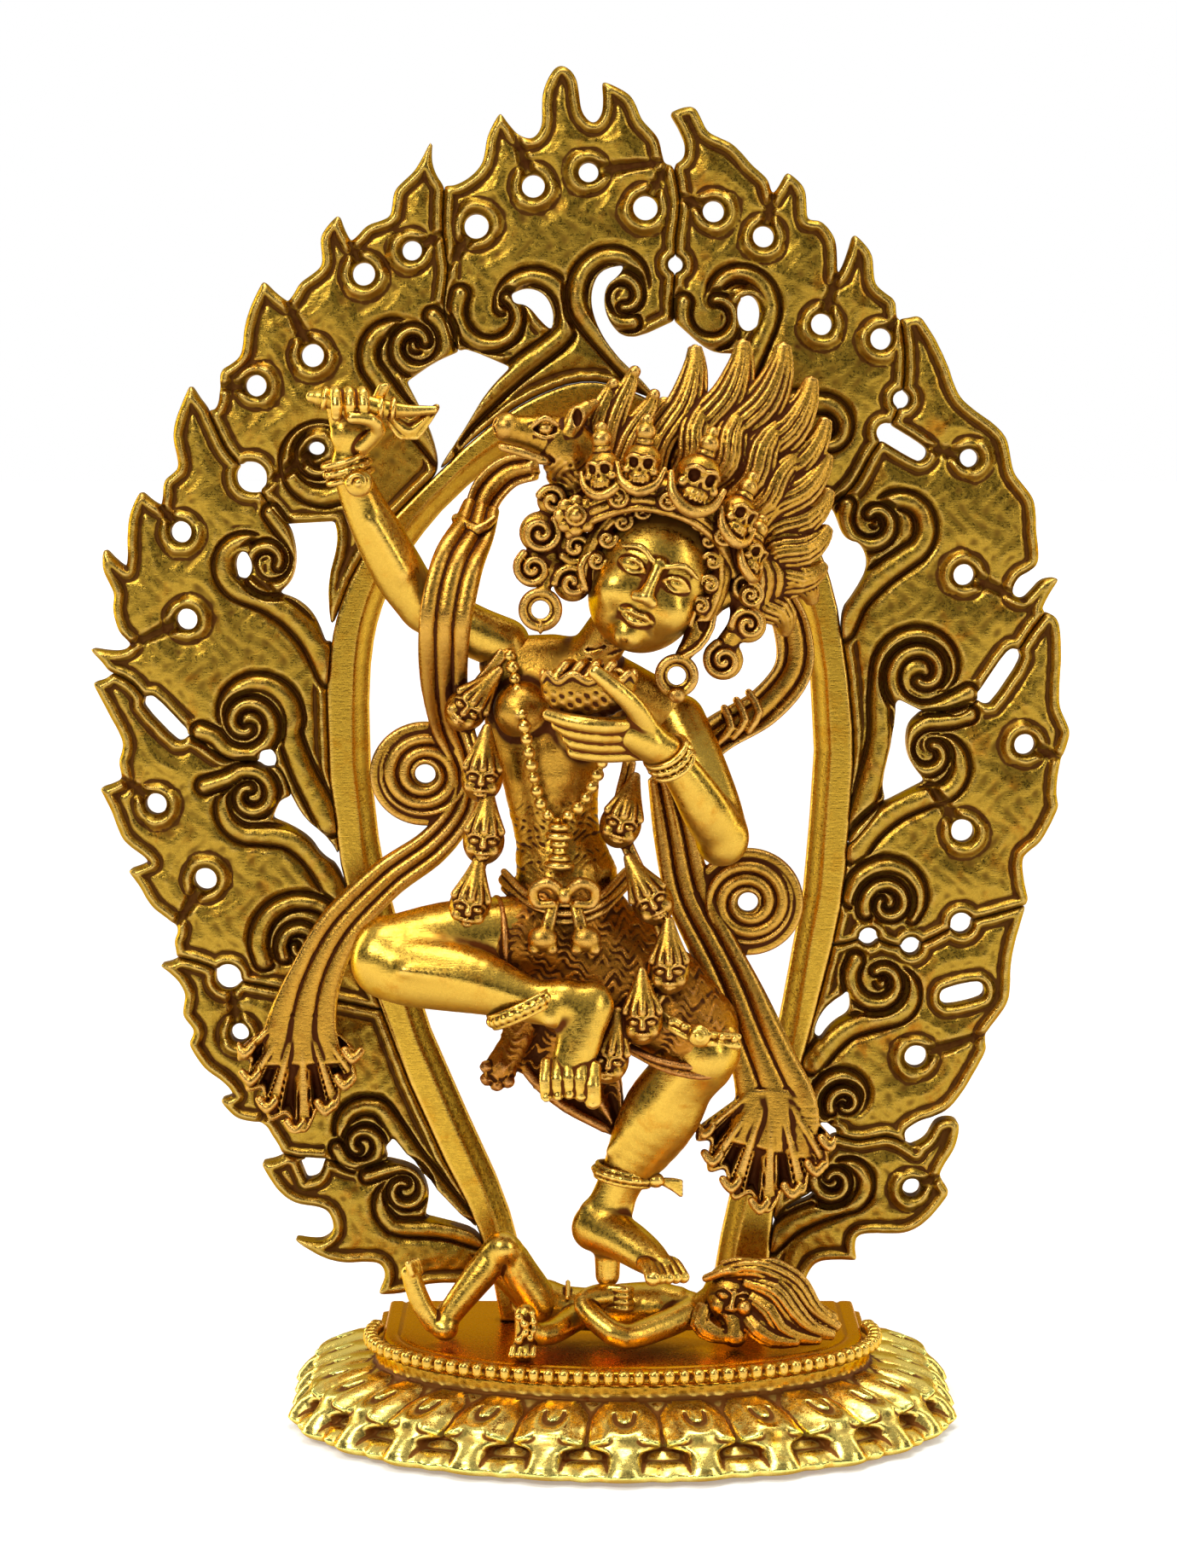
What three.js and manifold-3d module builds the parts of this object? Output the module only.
// A gilt brass dancing dakini: a sow-crowned female deity who dances on a prone figure, on a
// lotus base, before a flaming halo that lifts out of two slots in the deck.
// Millimetres. +X is the viewer's right, +Y goes to the back, +Z is up, and Z = 0 is the table.
import * as THREE from 'three';
import { mergeVertices } from 'three/addons/utils/BufferGeometryUtils.js';
import Module from 'manifold-3d';

const wasm = await Module();
wasm.setup();

// Driving dimensions.
const GAP = 0.3;            // clearance between two pieces that touch
const DECK = 10;            // height of the deck above the table
const BACK = 25;            // the base's flat back
const HALO_FRONT = 13.2;    // front face of the flames
const HALO_THICK = 3;       // thickness of the flames
const ARCH_FRONT = 12.9;
const ARCH_THICK = 3.7;
const SEAM = 0.3;           // width of a seam between two flame castings
const STOUT = 2.5;          // a limb this thick has eight sides, a thinner one six

// Colours and finishes.
const GILT = { color: 0xd4a032, roughness: 0.34, metalness: 1 };
const HALO_GILT = { color: 0xb58a26, roughness: 0.42, metalness: 1 };
const COPPER = { color: 0x9c5a34, roughness: 0.5, metalness: 1 };

// ---------------------------------------------------------------- solids

// The closed body of a three.js geometry.
function solid(geometry) {
  const merged = mergeVertices(stripped(geometry), 1e-5);
  return new wasm.Manifold(new wasm.Mesh({
    numProp: 3,
    vertProperties: new Float32Array(merged.attributes.position.array),
    triVerts: new Uint32Array(merged.index.array),
  }));
}

function stripped(geometry) {
  const copy = geometry.clone();
  copy.deleteAttribute('normal');
  copy.deleteAttribute('uv');
  return copy;
}

function joined(solids) {
  return solids.reduce((whole, next) => whole.add(next));
}

// An ellipsoid, turned about the Y axis by lean (positive leans its top to +X).
function egg(centre, radii, grow = 0, lean = 0) {
  const ball = new THREE.SphereGeometry(1, 10, 7);
  ball.scale(radii[0] + grow, radii[1] + grow, radii[2] + grow);
  ball.rotateY(lean);
  ball.translate(...centre);
  return solid(ball);
}

// A limb, lock or cord: a tube with tapered ends through points [x, y, z, radius].
const END_REACH = 0.8;      // how far an end reaches past its point, and how wide it is there,
const END_WIDTH = 0.6;      // as shares of the radius
function limb(points, grow = 0) {
  const centres = points.map((p) => new THREE.Vector3(p[0], p[1], p[2]));
  const last = points.length - 1;
  const sides = Math.max(...points.map((p) => p[3])) >= STOUT ? 8 : 6;
  const rings = [];
  let side = new THREE.Vector3(0.31, 0.87, 0.38);
  const addRing = (centre, along, r) => {
    side = side.clone().addScaledVector(along, -side.dot(along)).normalize();
    const up = new THREE.Vector3().crossVectors(along, side);
    rings.push(Array.from({ length: sides }, (_, k) => {
      const turn = (k / sides) * 2 * Math.PI;
      return centre.clone()
        .addScaledVector(side, r * Math.cos(turn))
        .addScaledVector(up, r * Math.sin(turn));
    }));
  };
  for (let i = 0; i <= last; i += 1) {
    const back = centres[Math.max(i, 1)].clone().sub(centres[Math.max(i, 1) - 1]).normalize();
    const on = Math.min(i, last - 1);
    const ahead = centres[on + 1].clone().sub(centres[on]).normalize();
    const along = back.add(ahead).normalize();
    const r = points[i][3] + grow;
    const endAt = (way) => centres[i].clone().addScaledVector(along, way * END_REACH * r);
    if (i === 0) addRing(endAt(-1), along, END_WIDTH * r);
    addRing(centres[i], along, r);
    if (i === last) addRing(endAt(1), along, END_WIDTH * r);
  }
  return solid(loft(rings));
}

function ring(centre, radius, thickness, grow = 0) {
  const torus = new THREE.TorusGeometry(radius, thickness + grow, 5, 10);
  torus.rotateX(Math.PI / 2);
  torus.translate(...centre);
  return solid(torus);
}

// A closed body through rings of equal point counts, with a fan over each end.
function loft(rings) {
  const count = rings[0].length;
  const last = rings.length - 1;
  const points = rings.flat();
  const middle = (row) => row.reduce((sum, p) => sum.clone().add(p)).divideScalar(count);
  points.push(middle(rings[0]), middle(rings[last]));
  const index = [];
  for (let i = 0; i < last; i += 1) {
    for (let j = 0; j < count; j += 1) {
      const a = i * count + j;
      const b = i * count + (j + 1) % count;
      index.push(a, b, b + count, a, b + count, a + count);
    }
  }
  const start = rings.length * count;
  for (let j = 0; j < count; j += 1) {
    const next = (j + 1) % count;
    index.push(start, next, j, start + 1, last * count + j, last * count + next);
  }
  const inside = index.reduce((sum, _, k) => (k % 3 ? sum : sum
    + points[index[k]].dot(points[index[k + 1]].clone().cross(points[index[k + 2]]))), 0);
  const geometry = new THREE.BufferGeometry().setFromPoints(points);
  geometry.setIndex(inside < 0 ? index.reverse() : index);
  return geometry;
}

// A flat strip whose face looks to the front, through points [x, y, z, width].
function strip(points, thick, grow = 0, steps = 3) {
  const path = new THREE.CatmullRomCurve3(points.map((p) => new THREE.Vector3(p[0], p[1], p[2])));
  const widths = new THREE.SplineCurve(points.map((p, i) => new THREE.Vector2(i, p[3])));
  const total = (points.length - 1) * steps;
  const rings = [];
  for (let i = 0; i <= total; i += 1) {
    const t = i / total;
    const centre = path.getPoint(t);
    const along = path.getTangent(t);
    const side = new THREE.Vector3(-along.z, 0, along.x).normalize();
    const half = widths.getPoint(t).y / 2 + grow;
    const depth = thick / 2 + grow;
    if (i === 0) centre.addScaledVector(along, -grow);
    if (i === total) centre.addScaledVector(along, grow);
    rings.push([[-1, -1], [-1, 1], [1, 1], [1, -1]].map(([s, d]) => centre.clone()
      .addScaledVector(side, s * half).add(new THREE.Vector3(0, d * depth, 0))));
  }
  return solid(loft(rings));
}

// A plate of the outline in X and Z, from its front face back by thick.
function plate(outline, front, thick) {
  const shape = new THREE.Shape(outline.map((p) => new THREE.Vector2(p.x, p.y)));
  const geometry = new THREE.ExtrudeGeometry(shape, { depth: thick, bevelEnabled: false });
  geometry.rotateX(Math.PI / 2);
  geometry.translate(0, front + thick, 0);
  return solid(geometry);
}

// A smooth closed outline, or, where a point has a third value, one with a sharp tip there.
function outlineOf(points, steps = 2) {
  const corners = points.map((p, i) => (p[2] ? i : -1)).filter((i) => i >= 0);
  if (corners.length === 0) {
    const loop = new THREE.CatmullRomCurve3(points.map((p) => new THREE.Vector3(p[0], p[1], 0)), true);
    return loop.getPoints(points.length * steps).slice(0, -1);
  }
  const result = [];
  for (let c = 0; c < corners.length; c += 1) {
    const from = corners[c];
    const to = corners[(c + 1) % corners.length];
    const span = (to - from + points.length) % points.length || points.length;
    const run = [];
    for (let k = 0; k <= span; k += 1) {
      const p = points[(from + k) % points.length];
      run.push(new THREE.Vector2(p[0], p[1]));
    }
    result.push(...new THREE.SplineCurve(run).getPoints(span * steps).slice(0, -1));
  }
  return result;
}

// ---------------------------------------------------------------- the base

const DECK_RX = 29.6;       // half-width of the deck
const DECK_RY = 21;         // depth of its curved front
const DECK_CY = 8;          // where the curve meets the straight sides
const SIDE_DRAW = 0.3;      // how far each straight side draws in towards the back
const PETALS = 14;
const BEAD_R = 0.85;
const BEAD_SEAT = DECK - 1.3;   // the step that the row of beads lies on
const BEAD_SEAT_IN = 1.5;

// The outline of the base at one height: the deck's outline moved out by out, its petals swelling
// by scallop. Each petal has three points.
function baseRing(out, z, scallop = 0) {
  const row = [];
  const steps = PETALS * 3;
  for (let i = 0; i <= steps; i += 1) {
    const turn = Math.PI + (i / steps) * Math.PI;
    const swell = scallop * Math.abs(Math.sin((i / 3) * Math.PI));
    const x = (DECK_RX + out + swell) * Math.cos(turn);
    const y = DECK_CY + (DECK_RY + out + swell) * Math.sin(turn);
    row.push(new THREE.Vector3(x, y, z));
  }
  row.push(new THREE.Vector3(DECK_RX + out - SIDE_DRAW, BACK, z));
  row.push(new THREE.Vector3(-(DECK_RX + out - SIDE_DRAW), BACK, z));
  return row;
}

const PLATE_THICK = 0.8;
const PLATE_IN = 5;         // how far the bottom plate lies inside the deck's outline
const PLATE_FROM_BACK = 3;

function bottomPlate(grow = 0) {
  const rings = [baseRing(-PLATE_IN + grow, 0), baseRing(-PLATE_IN + grow, PLATE_THICK + grow)];
  for (const p of rings.flatMap((row) => row.slice(-2))) p.y = BACK - PLATE_FROM_BACK + grow;
  return solid(loft(rings));
}

// The base: each level is [how far out, height, scallop], from the foot up to the deck.
function lotusBase() {
  const levels = [
    [9, 0, 0.5], [9.3, 1.2, 0.8], [8.2, 3.2, 0.8], [5.4, 5.4, 0.7], [2.4, 6.6, 0.3], [-0.4, 7, 0],
    [-0.6, BEAD_SEAT, 0], [-BEAD_SEAT_IN, BEAD_SEAT, 0], [-BEAD_SEAT_IN, DECK, 0],
  ];
  const body = solid(loft(levels.map(([out, z, scallop]) => baseRing(out, z, scallop))));
  const recess = bottomPlate(GAP).translate([0, 0, -0.001]);
  return body.subtract(recess).subtract(tenons(GAP));
}

// The row of beads round the deck's edge, which swells at every bead.
const BEADS = 44;
function beadRim(grow = 0) {
  const rings = [];
  const sides = 4;
  const start = Math.PI * 0.94;
  const total = BEADS * 2;
  for (let i = 0; i <= total; i += 1) {
    const turn = start + (i / total) * (Math.PI * 3 - 2 * start);
    const r = (i % 2 ? BEAD_R : BEAD_R * 0.72) + grow;
    const out = new THREE.Vector3(Math.cos(turn), Math.sin(turn), 0);
    const height = BEAD_SEAT + GAP + BEAD_R;
    const centre = new THREE.Vector3(DECK_RX * out.x, DECK_CY + DECK_RY * out.y, height);
    rings.push(Array.from({ length: sides }, (_, k) => {
      const around = (k / sides) * 2 * Math.PI;
      return centre.clone().addScaledVector(out, r * Math.cos(around))
        .add(new THREE.Vector3(0, 0, r * Math.sin(around)));
    }));
  }
  return solid(loft(rings));
}

// ---------------------------------------------------------------- the halo

// The arch's outer and inner edges, from the left foot over the top to the right foot.
const ARCH_OUTER = [
  [-14.3, DECK + GAP, 1], [-15.5, 16.8], [-17.5, 22.8], [-21, 29.8], [-25, 38.8], [-28, 46.8],
  [-30.5, 53.8], [-33, 64.8], [-34.2, 74.8], [-34.5, 84.8], [-33.8, 92.8], [-31, 99.8],
  [-27.5, 104.5], [-23, 109], [-17, 114.8], [-11, 119.1], [-4, 121.6, 1], [3, 119.3], [9.5, 114.6],
  [16, 109], [20.8, 104.8], [23.5, 100.6], [25, 94.8], [26.2, 86.8], [27, 78.8], [26.5, 69.8],
  [25.9, 61.5], [24.5, 54.8], [22.5, 46.8], [21, 40.8], [19.5, 33.8], [18, 25.8], [17.3, 16.8],
  [16.8, DECK + GAP, 1],
];
const ARCH_INNER = [
  [10.5, DECK - 5, 1], [11.2, 16.8], [13.8, 28.8], [16.5, 36.8], [18.5, 44.8], [20, 53.1], [21.5, 61.5],
  [22.2, 69.8], [22.7, 78.1], [22.2, 86.8], [20.8, 94.8], [18, 101.6], [13, 108], [6, 113],
  [-4, 117.2, 1], [-13, 113.4], [-20, 107.8], [-25.4, 101.4], [-29, 94], [-30, 86], [-29.8, 76],
  [-28.6, 64.8], [-26, 54.8], [-22.8, 44.8], [-18.5, 34.8], [-14, 24.8], [-11.9, 16.8],
  [-10.8, DECK - 5, 1],
];

// The flames' outer edge, from the left foot over the top to the right foot.
const EDGE_LEFT_5 = [
  [-23, 14.8, 1], [-25.8, 13.6], [-28.8, 13.4, 1], [-28, 15.5], [-29, 17.3], [-33, 17.2], [-36, 18.1],
  [-38.8, 19.9, 1], [-35.8, 19.5], [-34.1, 21], [-35, 23.7], [-38.5, 24.3], [-40.8, 26],
  [-42.6, 29, 1], [-40, 29.8],
];
const EDGE_LEFT_4 = [
  [-41.4, 32.6], [-42.5, 34], [-45.5, 34.5], [-47.4, 36.6, 1], [-45.8, 37.2], [-47.2, 39], [-49.4, 40.6],
  [-51.1, 43.4, 1], [-50.4, 45], [-51.8, 46.8], [-51.4, 49.2], [-52.6, 51.3], [-54.4, 52.7, 1],
  [-52.4, 53.3],
];
const EDGE_LEFT_3 = [
  [-52.7, 55.6], [-52.2, 57.3], [-55.2, 59.6], [-56.6, 62], [-58, 63.9, 1], [-55.5, 64.9], [-57, 66.3],
  [-58.7, 67.8], [-59.8, 70.8], [-61.2, 73.6, 1], [-58.7, 74.6], [-59, 76.8], [-58.4, 79], [-60, 82.3],
  [-61.9, 86, 1], [-59.7, 87],
];
const EDGE_LEFT_2 = [
  [-62.2, 90, 1], [-59, 89.6], [-57.4, 90.6], [-58.8, 92.1], [-59.5, 94.8], [-59.3, 96.6], [-60.6, 99.3],
  [-60.5, 101.6, 1], [-57.9, 99.3], [-57.7, 102.8], [-57.4, 105.8], [-56.2, 108.3, 1], [-53.7, 106.5],
  [-53.4, 109.6], [-51.6, 111.1], [-52.2, 114.3], [-51.9, 116.8], [-50.3, 120.6, 1], [-48.3, 117.8],
];
const EDGE_LEFT_1 = [
  [-46.9, 118.5], [-46.7, 122.4, 1], [-44.3, 124], [-43.9, 127], [-43.1, 129.8], [-41.7, 132.6, 1],
  [-38.9, 130.2], [-37.4, 132.5], [-34.7, 134.5], [-35, 137.8], [-33, 140.2, 1], [-31.6, 137.1],
  [-29.6, 139.1], [-26.8, 140.1], [-26.4, 143.1], [-24, 145.3], [-22.2, 148.7, 1], [-22.3, 146.3],
  [-20.8, 143.6],
];
const EDGE_TOP = [
  [-18.2, 144.2], [-16.1, 146.3], [-15.6, 149.3], [-14.2, 151.9, 1], [-12.4, 149.6], [-10.4, 149],
  [-9.2, 150.8], [-9.2, 154.3], [-7.5, 157.4], [-5.5, 156], [-5, 152.3], [-3.4, 150.7], [-2.2, 152.3],
  [-2.3, 155.5, 1], [0.8, 154], [2, 151.2], [4, 149.1], [4.7, 146.1],
];
const EDGE_RIGHT_1 = [
  [6.9, 146.5], [7.3, 148.8], [5.6, 152, 1], [8.2, 152.7], [9.6, 149.8], [12.5, 148.5], [14.8, 146],
  [16.7, 144.3], [17.3, 142.4], [19, 145.1, 1], [21, 143.3], [21.2, 139.8], [22.8, 139.6],
  [24.6, 137.3], [24.7, 133.2], [25.8, 134.8], [26.8, 138, 1], [28.8, 135.8], [29.1, 132.3],
  [31.5, 130.5], [31.7, 128.3],
];
const EDGE_RIGHT_2 = [
  [34.4, 128.7, 1], [36.2, 126], [37.8, 122.6], [39.2, 119.1], [42.8, 116.4], [44.7, 114.3],
  [45.4, 110.5], [47.8, 107.6], [48.1, 103.8], [48.4, 100], [46.2, 98.6], [45.4, 96.6], [47, 95.8],
  [49, 98], [50.8, 98.2, 1], [48.8, 94.6],
];
const EDGE_RIGHT_3 = [
  [50.8, 93.6], [51.2, 88.8], [51, 83.3], [52.4, 80.3], [51.2, 76.8], [50.8, 73.3], [51.1, 71.5, 1],
  [49, 67.3], [46.8, 65.4], [47.6, 60.6, 1],
];
const EDGE_RIGHT_4 = [
  [46.2, 55.8], [45.6, 52.3], [45.4, 48.3], [42.8, 44.8], [42.9, 42.7, 1], [40.5, 38.3], [38.2, 35.4],
  [35.2, 34.3], [33.2, 32.8], [34.2, 31],
];
const EDGE_RIGHT_5 = [
  [36.2, 32], [37.3, 34], [39.7, 34], [39.2, 30.8], [37.4, 27.8], [38.7, 25.6, 1], [36.2, 22.4],
  [33.2, 20.7], [27.8, 20.7], [27.7, 17.5, 1], [23, 17.4], [21.5, 14.6, 1],
];

// The gaps between the scrolls and stems of the flames and the arch.
const GAPS = [
  [[-25.4, 121.2], [-22, 123.6], [-18.2, 125.2], [-12.8, 122.9], [-15.6, 120.1], [-18.2, 115.8],
    [-21.4, 110.9], [-22.6, 115.8]],
  [[-13.2, 131.4], [-11.2, 132.3], [-8.9, 131.5], [-7.8, 129], [-8.2, 126.8], [-9.6, 128],
    [-11.2, 130], [-12.8, 130]],
  [[-4, 131.3], [-2.8, 134.3], [0.4, 134.9], [-0.2, 133.4], [-2.1, 132], [-1.9, 128.6], [0.6, 125.9],
    [6, 128.4], [10.2, 124.6], [13.2, 124.6], [11.8, 120.8], [7.6, 114.8], [2.2, 121.1], [-1.4, 124.6],
    [-3.4, 128]],
  [[13.2, 131.3], [14.7, 130.9], [16.2, 128.3], [15.4, 126.9], [14.1, 129.2]],
  [[23.6, 107.7], [24.9, 106], [26, 102.9], [28, 102.6], [29, 99.8], [27.3, 96.6], [25, 93.6],
    [23.4, 98], [20.8, 104]],
  [[32, 84.5], [35.4, 82.8], [33.4, 81], [33.5, 77.3], [35.8, 74.4], [30.8, 71.8], [30.3, 74.3],
    [31.6, 79.8]],
  [[26.8, 49.9], [27.3, 47], [24.8, 45.6], [23.4, 43.6], [22.3, 44.5], [23.6, 47.8]],
  [[23.6, 34.4], [25.8, 33], [24.4, 31.6], [22.9, 29.8], [23, 32.6]],
  [[17.6, 21.7], [19.2, 24], [23.2, 26.1], [22.8, 24.8], [20.2, 23.8]],
  [[-36.8, 113.6], [-35.8, 114.4], [-34.6, 113.8], [-35, 112.7], [-36.2, 112.6]],
  [[-39, 104.8], [-33.5, 105.1], [-33, 102.8], [-34.3, 98], [-34.2, 94.8], [-33.8, 91], [-34.9, 90.6],
    [-36.2, 94], [-38.2, 95.8], [-40.6, 96.5], [-38.8, 98], [-38.2, 100.8]],
  [[-45.4, 99.8], [-44.7, 101.6], [-43.3, 101.3], [-44.2, 100], [-44.4, 98.1], [-45.2, 98.2]],
  [[-41.4, 70], [-40.5, 72.3], [-38.8, 73], [-37.4, 70.3], [-34, 67.4], [-32.6, 63.8],
    [-35.6, 65.6], [-36.8, 67.6], [-39, 69]],
  [[-28.4, 30.8], [-27, 32.4], [-23, 27.4], [-16.4, 20.4], [-20, 21.5], [-23.6, 22.4], [-22.9, 25.6],
    [-24.4, 28.5], [-27.8, 29.3]],
  [[-38.5, 29.5], [-35, 29.8], [-35.8, 27.2], [-37.5, 26.9]],
];

// The tear holes at the roots of the tongues: centre and radius, or both ends and radius.
const HOLES = [
  [-10.4, 143.7, 1.5], [-4, 145.3, 1.3], [-17, 139.1, 1.6], [-24.5, 136.3, 1.3], [-30.1, 133.6, 1.5],
  [-36.1, 124.2, 1.5], [-42.7, 120.7, 1.4], [-51.6, 103.7, 1.4], [2.6, 141.2, 1.6], [10.5, 140.8, 1.4],
  [16.3, 137.9, 1.4], [6.1, 134.7, 1.1], [23.1, 127.8, 1.4], [30, 126.1, 1.4], [32.4, 119.1, 1.2],
  [40.4, 112.3, 1.2], [-51, 93.5, 1.4], [-54.8, 71.8, 1.4], [-49.1, 62.9, 1.5], [-45.2, 44.6, 1.2],
  [-40.8, 37, 1.2], [39.9, 98.7, 1.4], [47.2, 78.8, 1.4], [40, 68.6, 1.5], [29, 56.1, 1.3],
  [34, 55, 1.3], [39.9, 57.7, 1.5], [34.7, 41.8, 1.5], [34.3, 26.1, 1.2], [-41.7, 77.2, 1.3],
  [-46.5, 51.3, 1.8], [-43.3, 110.1, 2.1],
];
const LONG_HOLES = [
  [-55.2, 83.6, -52, 80.2, 1.2], [30.6, 115.3, 34.4, 113, 1.3], [45.6, 89, 42.7, 84.6, 1.3],
  [38.6, 49, 41.6, 49.7, 1.4],
];

// The seams where two flames meet, from the outer edge to a gap or to the arch.
const SEAMS = [
  [[-41.2, 30.6], [-38.5, 29.8], [-35.2, 29.6], [-32.6, 28.8], [-30.5, 28.6], [-27, 29.8]],
  [[-53.6, 53.9], [-51, 53.4], [-48.6, 52.6], [-46.5, 51.3], [-44, 50.6], [-38.5, 49.6], [-33, 48.4],
    [-27.5, 47.2]],
  [[-60.8, 87.6], [-57.5, 86.2], [-53.8, 81.7], [-49.5, 79.2], [-46.6, 77.2], [-43.6, 76.8],
    [-40.2, 76], [-38.8, 72.4]],
  [[-48.7, 118.8], [-47.2, 115.4], [-46, 113], [-43.3, 110.1], [-41, 106.6], [-38.5, 104]],
  [[-20.6, 144.8], [-20.9, 138.8], [-20.3, 133.8], [-20.8, 129.8], [-20, 126.3], [-18.6, 124]],
  [[5.6, 147], [6.6, 141.8], [6.1, 137.8], [6.1, 134.7], [5.8, 130.3], [6.2, 127]],
  [[32, 129.4], [32.8, 124.5], [32.4, 119.1], [31, 115.8], [28.8, 112.6], [27, 109.2], [24.2, 106.6]],
  [[50, 95], [47.8, 92.2], [44, 86.5], [41.4, 83.9], [39.2, 82.2], [37, 82.8], [34.4, 82.6]],
  [[48.6, 60.2], [43.8, 58.8], [39.9, 57.7], [36.5, 56], [34, 55], [31.5, 55.2], [29, 56.1],
    [26.5, 55.4], [23.5, 55]],
  [[34.8, 30.6], [33, 31.8], [31, 32.4], [28, 31.8], [25, 32.6]],
  [[31.2, 73], [29.6, 70.6], [27.6, 68], [25.4, 66]],
  [[23.4, 31], [21, 30.4], [17.6, 30]],
];

// Each flame's name and a point on it.
const FLAMES = {
  flame_left_5: [-29, 21], flame_left_4: [-36, 38], flame_left_3: [-46, 66], flame_left_2: [-48, 97],
  flame_left_1: [-34, 125], flame_top: [-8, 135], flame_right_1: [20, 128], flame_right_2: [38, 104],
  flame_right_3: [39, 75], flame_right_4: [34, 43], flame_right_5: [29, 25],
};

function flames() {
  const edge = [
    ...EDGE_LEFT_5, ...EDGE_LEFT_4, ...EDGE_LEFT_3, ...EDGE_LEFT_2, ...EDGE_LEFT_1, ...EDGE_TOP,
    ...EDGE_RIGHT_1, ...EDGE_RIGHT_2, ...EDGE_RIGHT_3, ...EDGE_RIGHT_4, ...EDGE_RIGHT_5,
  ];
  const through = [HALO_FRONT - 1, HALO_THICK + 2];
  const cuts = [grownArch()];
  for (const gap of GAPS) cuts.push(plate(outlineOf(gap, 1), ...through));
  for (const [x, z, r] of HOLES) cuts.push(tearHole(x, z, x, z, r));
  for (const hole of LONG_HOLES) cuts.push(tearHole(...hole));
  const depth = HALO_FRONT + HALO_THICK / 2;
  for (const seam of SEAMS) {
    cuts.push(strip(seam.map(([x, z]) => [x, depth, z, SEAM]), HALO_THICK + 2, 0, 2));
  }
  const whole = plate(outlineOf(edge), HALO_FRONT, HALO_THICK);
  return whole.subtract(joined(cuts)).decompose();
}

// A round or long hole right through the flames.
function tearHole(x0, z0, x1, z1, r) {
  const outline = [];
  const heading = Math.atan2(z1 - z0, x1 - x0);
  const sides = 8;
  for (let i = 0; i < sides; i += 1) {
    const turn = heading - Math.PI / 2 + ((i + 0.5) / sides) * 2 * Math.PI;
    const [x, z] = i < sides / 2 ? [x1, z1] : [x0, z0];
    outline.push(new THREE.Vector2(x + r * Math.cos(turn), z + r * Math.sin(turn)));
  }
  return plate(outline, HALO_FRONT - 1, HALO_THICK + 2);
}

// The arch's outer outline, moved out by the gap and carried down past the flames' feet.
function grownArch() {
  const outer = outlineOf(ARCH_OUTER, 1);
  const moved = outer.map((p, i) => {
    const before = outer[(i + outer.length - 1) % outer.length];
    const after = outer[(i + 1) % outer.length];
    const along = new THREE.Vector2(after.x - before.x, after.y - before.y).normalize();
    return new THREE.Vector2(p.x - along.y * GAP, p.y + along.x * GAP);
  });
  return plate(moved, HALO_FRONT - 1, HALO_THICK + 2);
}

// The arch's two tenons, which stand in slots in the deck.
const TENONS_X = [-12.5, 13.7];
const TENON_WIDE = 3;
const TENON_THICK = 2.5;
const TENON_DEPTH = 5;
const TENON_ROOT = 0.6;     // how far a tenon reaches up into the arch
function tenons(grow = 0) {
  const long = TENON_DEPTH + TENON_ROOT + grow;
  return joined(TENONS_X.map((x) => boxSolid(
    [x, ARCH_FRONT + ARCH_THICK / 2, DECK + TENON_ROOT - long / 2],
    [TENON_WIDE + 2 * grow, TENON_THICK + 2 * grow, long],
  )));
}

function haloArch() {
  const outer = plate(outlineOf(ARCH_OUTER, 1), ARCH_FRONT, ARCH_THICK);
  const inner = plate(outlineOf(ARCH_INNER, 1), ARCH_FRONT - 1, ARCH_THICK + 2);
  return outer.subtract(inner).add(tenons());
}

// ---------------------------------------------------------------- the prone figure

function proneBody(g = 0) {
  const trunk = limb([
    [-8.6, 5.6, 13.8, 2.8], [-3.5, 5.2, 13.6, 2.7], [2, 4.6, 13.8, 3], [7.4, 3.6, 13.6, 2.4],
  ], g);
  const armNear = limb([
    [7.4, 1.6, 13.4, 1.7], [0.2, -3.6, 12.3, 1.5], [-4.6, -0.6, 15.2, 1.3], [-2, 0.4, 16, 1.6],
  ], g);
  const armFar = limb([
    [-5.6, 1.5, 13.2, 1.6], [-8.4, -3.4, 12.6, 1.4], [-11.2, -5.4, 13.6, 1.5],
    [-11.2, -5.6, 11.9, 1.3],
  ], g);
  return joined([trunk, armNear, armFar]);
}

function proneLegs(g = 0) {
  const near = limb([
    [-9.6, 4.4, 14.2, 2.3], [-13.9, 3.4, 20.8, 1.9], [-21.6, 1.6, 12.4, 1.4],
    [-24.6, 1.4, 18.4, 1.3],
  ], g);
  const far = limb([[-10, 7.6, 13.8, 2.2], [-15.5, 8.6, 18, 1.7], [-20.5, 8.6, 12.2, 1.5]], g);
  return near.add(far);
}

function proneHead(g = 0) {
  const headAndHair = limb([[8.8, 3, 13.8, 1.8], [10.6, 2.8, 14.4, 2.6], [13.2, 2.6, 15.2, 3.4],
    [16.4, 2.6, 14.8, 3], [19.6, 2.5, 14.2, 2.4], [24.4, 2.4, 13.2, 1.1]], g);
  const lock = limb([[15, 2.6, 15.8, 2], [20.8, 2.2, 15.6, 0.9]], g);
  const rest = limb([[12.9, 0, 13.4, 1.4], [12.9, -0.4, 11.9, 1.5]], g);
  return joined([headAndHair, lock, rest]);
}

// ---------------------------------------------------------------- the dancer's body

const CLOTH = 2;            // thickness of a scarf and of the skirt's fall

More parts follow.
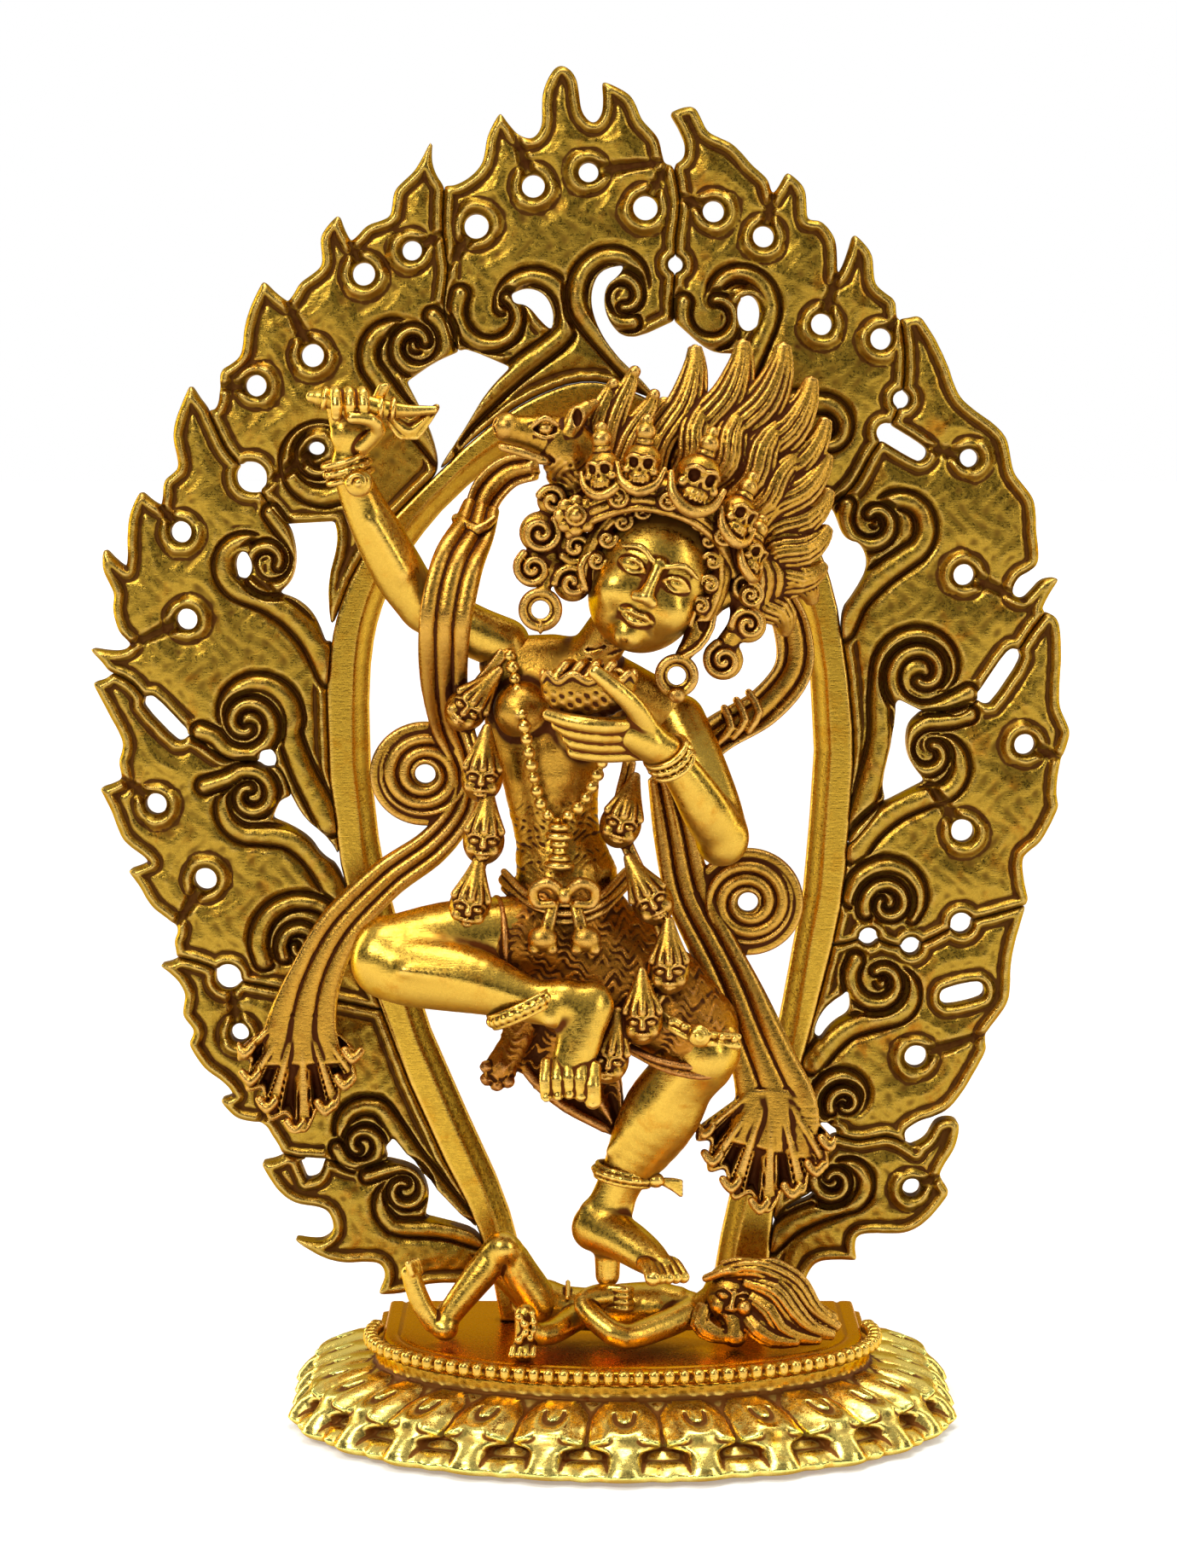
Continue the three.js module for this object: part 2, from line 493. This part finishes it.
function tigerSkirt(g = 0) {
  const hips = limb([[-6.6, 0, 60.5, 7.2], [-4.4, 0, 54.5, 8.2]], g);
  const overThigh = limb([[-1, 0, 54, 7.4], [7.4, -3.6, 47.6, 5.6]], g);
  const fall = strip([
    [-9.4, 3.4, 52, 9], [-7.4, 3.6, 45, 10], [-3.6, 3.6, 39.5, 8], [-1, 3.2, 36, 3],
  ], CLOTH, g);
  const paw = limb([[-11.2, 3, 47.5, 1.8], [-13, 2, 43.4, 1.7], [-14.4, 1.4, 41.8, 2]], g);
  return joined([hips, overThigh, fall, paw]);
}

function torso(g = 0) {
  const trunk = limb([[-6.6, -0.2, 65.6, 6], [-7.9, 0.4, 72, 5], [-8.6, 0.8, 79, 6.2]], g);
  const chest = egg([-8, 1, 83.4], [8.2, 5.6, 7.4], g, 0.25);
  const shoulders = limb([[-13.4, 1.4, 89.2, 3.1], [-3.6, 1.8, 88, 3.4], [4.4, 2.6, 84, 3]], g);
  const neck = limb([[-5, 0.6, 88, 3], [-1.2, -1.2, 93.4, 2.9]], g);
  return joined([trunk, chest, shoulders, neck]);
}

const HEAD_LEAN = 0.42;
function head(g = 0) {
  return egg([3.2, -2.8, 99], [6.9, 6.4, 8.6], g, HEAD_LEAN);
}

function standingLeg(g = 0) {
  const leg = limb([
    [3, -0.4, 52, 5], [9.2, -4.6, 46, 4.5], [4.4, -1.6, 38, 4.6], [0, 0, 30.5, 2.7],
    [-2.6, 0.6, 24.6, 2.8],
  ], g);
  const foot = limb([[-3, 0.4, 24.2, 2.6], [2, -4, 22, 2.3], [5.2, -8.4, 20.6, 1.6]], g);
  const peg = limb([[-1.8, 0.8, 23, 1.7], [-1.8, 1, 18.6, 1.5]], g);
  return joined([leg, foot, peg]);
}

function raisedLeg(g = 0) {
  const thigh = limb([[-9.6, -3.4, 58.4, 4.6], [-25.6, -7, 57.6, 4]], g);
  const shin = limb([[-26.4, -8.4, 55.4, 4.2], [-17, -10.6, 54.2, 3.7], [-10, -11.8, 52, 2.6]], g);
  const foot = limb([[-5, -11.6, 51.6, 2.8], [-5.6, -12.8, 46.4, 2.4], [-6.6, -13, 42.6, 1.8]], g);
  const ankle = limb([[-10, -11.8, 52, 2.6], [-5, -11.6, 51.6, 2.8]], g);
  return joined([thigh, shin, ankle, foot]);
}

function rightArm(g = 0) {
  const arm = limb([
    [-13.6, 1.2, 91.4, 3], [-23.6, -0.8, 96.6, 3], [-27.6, -2.4, 103.6, 2.9],
    [-31, -4, 111, 2.2],
  ], g);
  const hand = limb([[-31, -4.2, 113, 2.3], [-30, -4.8, 116.2, 2.5]], g);
  return arm.add(hand);
}

function leftArm(g = 0) {
  const arm = limb([[6.4, 2.4, 82.6, 3], [11, -4.6, 69.6, 3.1], [5.2, -10.6, 79.2, 2.2]], g);
  const hand = limb([[5.2, -10.6, 79.2, 2.2], [0, -12.6, 82.6, 1.9], [-7.4, -12.2, 84, 1.1]], g);
  const thumb = limb([[1.6, -13, 83.6, 1.2], [-1, -15.4, 87.6, 0.9], [-3.4, -15.6, 89.4, 0.8]], g);
  return joined([arm, hand, thumb]);
}

// ---------------------------------------------------------------- what the dancer holds and wears

// Half an egg shell's outside: the egg is cut off level just above its middle.
function skullCup(g = 0) {
  const below = boxSolid([-4, -12, 83.6], [14, 10, 11.2]);
  return egg([-4, -12, 87.6], [5.2, 3.4, 2.9], g, -0.12).intersect(below);
}

function boxSolid(centre, size) {
  const box = new THREE.BoxGeometry(...size);
  box.translate(...centre);
  return solid(box);
}

function curvedKnife(g = 0) {
  return limb([
    [-34, -6, 119, 0.8], [-31.4, -6.6, 118.9, 1.4], [-27.4, -6.4, 118, 1.3],
    [-21.6, -5, 117.8, 0.8],
  ], g);
}

function belt(g = 0) {
  const band = limb([
    [-13.4, -1.6, 64.2, 0.9], [-10.4, -5.6, 62.2, 0.9], [-6.6, -7.2, 61.8, 0.9],
    [-3, -6, 62.2, 0.9], [0, -2.4, 64.4, 0.9],
  ], g);
  const bow = limb([[-9, -7.6, 63, 1], [-6.8, -8.4, 64, 1.3], [-4.6, -7.6, 63, 1]], g);
  const knobs = [-8.8, -4.2].map((x) => limb([[-6.8, -8, 63, 1], [x, -9, 58.8, 1.5]], g));
  return joined([band, bow, ...knobs]);
}

function hairFlames(g = 0) {
  const mass = egg([11.2, 2, 103.4], [8.2, 3.8, 9.6], g, 0.5);
  const tips = [
    [7.8, 2, 123.4], [12.8, 3, 124.2], [17.2, 3, 124], [19.8, 3, 120.2], [22, 4, 115.8],
    [22.2, 4, 111.8], [22, 4.6, 108.2], [22, 4.6, 103.4], [16.6, 3, 94],
  ];
  const locks = tips.map((tip) => limb([[11.2, 2.4, 104.6, 3], [...tip, 0.7]], g));
  return joined([mass, ...locks]);
}

function sowHead(g = 0) {
  const skull = limb([
    [-4, -0.6, 107.6, 2.8], [-6.4, -3.4, 113.4, 2.8], [-9, -4.4, 114.8, 2.3],
    [-13.4, -5.8, 115.6, 1.5],
  ], g);
  const ear = limb([[-6, -3.6, 115, 1.4], [-3.4, -2.6, 118, 0.7]], g);
  const mane = [[-1.8, -1, 118.8], [1.4, -0.6, 121]].map(
    (tip) => limb([[-3.6, -0.8, 111, 2.2], [...tip, 0.8]], g));
  return joined([skull, ear, ...mane]);
}

// A diadem along the brow, five skulls on it and a bud on each skull.
function skullCrown(g = 0) {
  const skulls = [
    [-2.6, -8.4, 109.6], [1.9, -9.4, 110.6], [8, -8.8, 109.4], [12.4, -6.8, 105.6], [14.2, -4.6, 101.4],
  ];
  const band = [];
  skulls.forEach(([x, y, z], i) => {
    band.push([x, y, z, 2]);
    const next = skulls[i + 1];
    if (!next) return;
    band.push([(x + next[0]) / 2, (y + next[1]) / 2 + 0.5, (z + next[2]) / 2 - 0.6, 1.2]);
  });
  const buds = skulls.map(([x, y, z]) => limb([
    [x + 0.3, y + 0.3, z + 1, 1], [x + 0.8, y + 0.6, z + 3.2, 0.9],
  ], g));
  return joined([limb(band, g), ...buds]);
}

function earringLeft(g = 0) {
  const drop = ring([-9.4, -5, 95.6], 1.9, 0.7, g);
  const whorls = limb([
    [-6.2, -4.4, 98.6, 1.6], [-10.6, -4, 101, 1.6], [-9.8, -3.6, 105.2, 1.5],
    [-6, -4.4, 106.8, 1.6],
  ], g);
  return drop.add(whorls).add(limb([[-9.2, -4.8, 97.4, 0.9], [-8.6, -4.2, 99.6, 1.2]], g));
}

function earringRight(g = 0) {
  const drop = ring([5.9, -5.4, 88.2], 1.9, 0.7, g);
  const ear = limb([[8.8, -4.4, 95.4, 1.8], [7.4, -4.8, 91, 1.5]], g);
  const whorls = limb([[8.8, -4, 95, 1.4], [13, -3, 98, 1.6], [10.8, -3, 90.4, 1.5]], g);
  return joined([drop, ear, whorls]);
}

function necklace(g = 0) {
  const string = limb([[-12.6, -1.6, 89.4, 0.7], [-11.2, -4.4, 84, 0.7], [-10.4, -6, 78.4, 0.7],
    [-7.4, -6.2, 71.8, 0.8], [-3.4, -6, 77, 0.7], [-1.6, -5.6, 81, 0.7]], g);
  const bell = limb([[-7.4, -6.6, 71.8, 1], [-7.2, -7, 68.6, 1.4]], g);
  return string.add(bell);
}

// A cord of severed heads: a cord that swells into a drop at each head.
function garland(top, heads, g) {
  const drops = heads.flatMap(([x, y, z]) => [
    [x, y, z + 2.8, 0.8], [x, y, z, 1.8], [x, y, z - 1.8, 1.5], [x, y, z - 2.8, 0.7],
  ]);
  return limb([[...top, 0.8], ...drops], g);
}

function headGarlandLeft(g = 0) {
  const heads = [[-17.6, -2.4, 84.4], [-16, -5, 76.6], [-15.8, -6, 69.6], [-17.4, -7.4, 62.4]];
  return garland([-13.6, -2.2, 90], heads, g);
}

function headGarlandRight(g = 0) {
  const heads = [
    [-0.6, -5.6, 71.4], [3.2, -6.8, 62.8], [5, -8.4, 55], [2, -9.2, 49.2], [-1.8, -9.4, 44.8],
  ];
  return garland([0.6, -4.2, 78], heads, g);
}

function scarfLeft(g = 0) {
  // The band comes forward over the upper arm and goes back again behind the garland.
  const band = strip([
    [-10.4, 7, 111.2, 3.4], [-15, 7.2, 109.4, 4], [-17, 2.4, 104.8, 4.4], [-19.4, -5.6, 99, 5],
    [-20.2, -5.6, 94, 5.2], [-20.4, -0.6, 88, 5.2], [-20, 3.6, 82, 4.2], [-18.2, 5, 76.4, 3.6],
    [-19.6, 5, 71.4, 3.6], [-23.2, 5, 67, 4], [-28, 4.8, 63.4, 4.4], [-32.6, 4.8, 58.6, 5],
    [-35.8, 4.8, 52.4, 6], [-37.4, 4.8, 46.4, 8],
  ], CLOTH, g);
  return joined([band, volute([-22.8, 5, 76.2], [6.6, 6], g), pleats([-37, 4.8, 42], g)]);
}

// A scarf's whorl: an oval disc with a small eye.
const EYE = 1.1;
function volute(centre, radii, g) {
  const disc = new THREE.CylinderGeometry(1, 1, CLOTH + 2 * g, 20);
  disc.scale(radii[0] + g, 1, radii[1] + g);
  const eye = new THREE.CylinderGeometry(EYE, EYE, CLOTH + 2, 10);
  const flat = g > 0 ? solid(disc) : solid(disc).subtract(solid(eye));
  return flat.translate(centre);
}

// The pleated end of a scarf: three folds that spread from one place.
function pleats([x, y, z], g) {
  const folds = [[-5.4, -1.4], [0.4, -5.6], [5.4, -2.2]];
  return joined(folds.map(([dx, dz]) => strip([
    [x, y, z + 4.6, 5], [x + dx * 0.6, y, z + dz * 0.4, 4.6], [x + dx, y, z + dz, 2.4],
  ], CLOTH, g, 2)));
}

function scarfRightUpper(g = 0) {
  return strip([
    [17, 7.6, 98, 3.6], [19.4, 7.6, 93, 4], [19.6, 7.4, 88, 4.2], [16.2, 6.6, 83.8, 4.2],
    [11, 5.6, 80.6, 4.2], [6, 4.4, 76.4, 4.6],
  ], CLOTH, g);
}

function scarfRightTail(g = 0) {
  const band = strip([
    [5, 5, 75.4, 4], [6.4, 5, 67, 5], [9, 4.6, 60, 5], [11.4, 3.6, 54, 5], [14.2, 2.4, 48, 6],
    [16.6, 1.6, 42, 7], [18, 1.2, 37, 9],
  ], CLOTH, g);
  return joined([band, volute([14.4, 4.6, 61.4], [6.6, 6.4], g), pleats([16.6, 1.2, 32.4], g)]);
}

// A ring round a limb at a joint, its axis along way.
function bangle(centre, way, radius, thick, g) {
  const torus = new THREE.TorusGeometry(radius, thick + g, 5, 10);
  torus.applyQuaternion(new THREE.Quaternion().setFromUnitVectors(
    new THREE.Vector3(0, 0, 1), new THREE.Vector3(...way).normalize()));
  torus.translate(...centre);
  return solid(torus);
}

function braceletRight(g = 0) {
  const jewel = egg([-29.6, -7, 109.8], [1.5, 1.2, 1.5], g);
  return bangle([-31, -4, 111.4], [-0.3, -0.1, 0.95], 2.9, 0.8, g).add(jewel);
}

function braceletLeft(g = 0) {
  return bangle([5, -10.7, 79.4], [-0.5, -0.5, 0.8], 2.8, 0.8, g);
}

function ankletRaised(g = 0) {
  return bangle([-11.3, -11.6, 51.6], [0.44, 0.1, -0.89], 3.7, 0.7, g);
}

function ankletStanding(g = 0) {
  const tassel = limb([[2.4, -0.6, 29, 1], [5.2, -0.6, 28.6, 0.8]], g);
  return bangle([0, 0, 30.4], [0.2, 0, 1], 3.3, 0.8, g).add(tassel);
}

function thighStrap(g = 0) {
  return limb([[3.4, -7.6, 50.4, 1], [8, -9, 48, 1.1], [12.6, -6.8, 47, 1]], g);
}

// ---------------------------------------------------------------- putting it together

const group = new THREE.Group();

function addMesh(name, shape, look) {
  const mesh = shape.getMesh();
  const geometry = new THREE.BufferGeometry();
  const corners = new Float32Array(mesh.vertProperties);
  geometry.setAttribute('position', new THREE.BufferAttribute(corners, 3));
  geometry.setIndex(new THREE.BufferAttribute(new Uint32Array(mesh.triVerts), 1));
  const node = new THREE.Mesh(geometry, new THREE.MeshStandardMaterial(look));
  node.name = name;
  group.add(node);
}

// A cut can leave crumbs: the piece is the largest body.
function largest(shape) {
  return shape.decompose().reduce((best, next) => (next.volume() > best.volume() ? next : best));
}

// Whether the boxes of two bodies overlap.
function touching(a, b) {
  const p = a.boundingBox();
  const q = b.boundingBox();
  return [0, 1, 2].every((k) => p.min[k] < q.max[k] && q.min[k] < p.max[k]);
}

addMesh('base_plate', bottomPlate(), COPPER);
addMesh('lotus_base', lotusBase(), GILT);
addMesh('bead_rim', beadRim(), GILT);

// The figure's pieces, each cut back by the gap from every piece before it.
const FIGURE = {
  tiger_skirt: tigerSkirt,
  torso,
  head,
  prone_body: proneBody,
  prone_legs: proneLegs,
  prone_head: proneHead,
  standing_leg: standingLeg,
  raised_leg: raisedLeg,
  skull_cup: skullCup,
  left_arm: leftArm,
  curved_knife: curvedKnife,
  right_arm: rightArm,
  bracelet_right: braceletRight,
  bracelet_left: braceletLeft,
  anklet_raised: ankletRaised,
  anklet_standing: ankletStanding,
  skull_crown: skullCrown,
  sow_head: sowHead,
  earring_left: earringLeft,
  earring_right: earringRight,
  necklace,
  belt,
  head_garland_left: headGarlandLeft,
  head_garland_right: headGarlandRight,
  thigh_strap: thighStrap,
  hair_flames: hairFlames,
  scarf_left: scarfLeft,
  scarf_right_upper: scarfRightUpper,
  scarf_right_tail: scarfRightTail,
};

const WIDE = 90;            // more than the base, either way
const deckBlock = boxSolid([0, 0, DECK / 2], [WIDE, WIDE, DECK + 2 * GAP]);
const grown = [deckBlock];
for (const [name, build] of Object.entries(FIGURE)) {
  const whole = build();
  const close = grown.filter((other) => touching(whole, other));
  const cut = close.length ? whole.subtract(joined(close)) : whole;
  addMesh(name, largest(cut), GILT);
  grown.push(build(GAP));
}

addMesh('halo_arch', haloArch(), HALO_GILT);
const CRUMB = 30;           // volume under which a body is only a crumb of the cutting
const pieces = flames().filter((piece) => piece.volume() > CRUMB);
for (const [name, [x, z]] of Object.entries(FLAMES)) {
  const distance = (piece) => {
    const box = piece.boundingBox();
    return Math.hypot((box.min[0] + box.max[0]) / 2 - x, (box.min[2] + box.max[2]) / 2 - z);
  };
  const nearest = pieces.reduce((best, next) => (distance(next) < distance(best) ? next : best));
  addMesh(name, nearest, HALO_GILT);
}

export default group;
